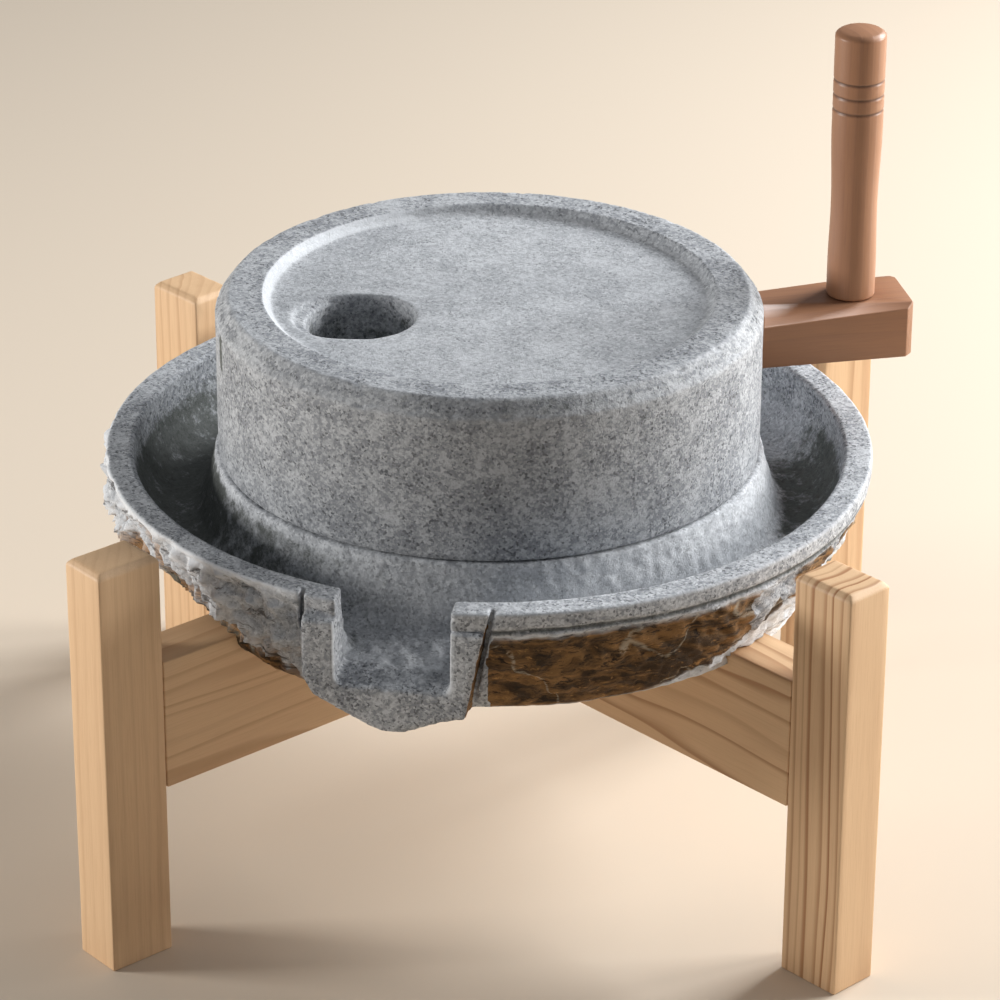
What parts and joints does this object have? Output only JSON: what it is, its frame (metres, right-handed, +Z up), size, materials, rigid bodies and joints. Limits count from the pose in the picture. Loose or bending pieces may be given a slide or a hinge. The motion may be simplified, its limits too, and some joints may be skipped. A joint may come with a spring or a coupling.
{
  "type": "hand-turned stone mill on a stand",
  "caption": "Rotary hand mill: granite runner stone with a feed hole and wooden crank on a carved base stone with trough and spout, on a crossed pine stand.",
  "frame": {"origin": "on the floor, on the axis that the runner turns on, within 3 mm of the middle of the footprint", "axes": "+Z up along the runner's axis; -Y the way the spout pours; +X to the right of the spout as it is seen from in front"},
  "size_m": [0.3944, 0.382, 0.377],
  "materials": {
    "base_granite": "sawn grey granite on the rim and trough, rough-hewn and partly iron-stained outside",
    "runner_granite": "fine-picked grey granite with dark and light speckles",
    "pin_iron": "bare forged iron",
    "crank_wood": "planed and turned hardwood, oiled, with three burnt rings on the grip",
    "pine": "sanded bare pine with visible grain and end-grain rings"
  },
  "bodies": {
    "base": {"base_stone": "base_granite", "centre_pin": "pin_iron", "rail_over": "pine", "rail_under": "pine", "leg_front_left": "pine", "leg_front_right": "pine", "leg_back_left": "pine", "leg_back_right": "pine"},
    "runner": {"runner_stone": "runner_granite", "crank_arm": "crank_wood", "crank_grip": "crank_wood"}
  },
  "joints": [
    {"name": "runner_spin", "type": "hinge", "parent": "base", "child": "runner", "pos_m": [0, 0, 0.1875], "axis": [0, 0, 1], "continuous": true}
  ]
}
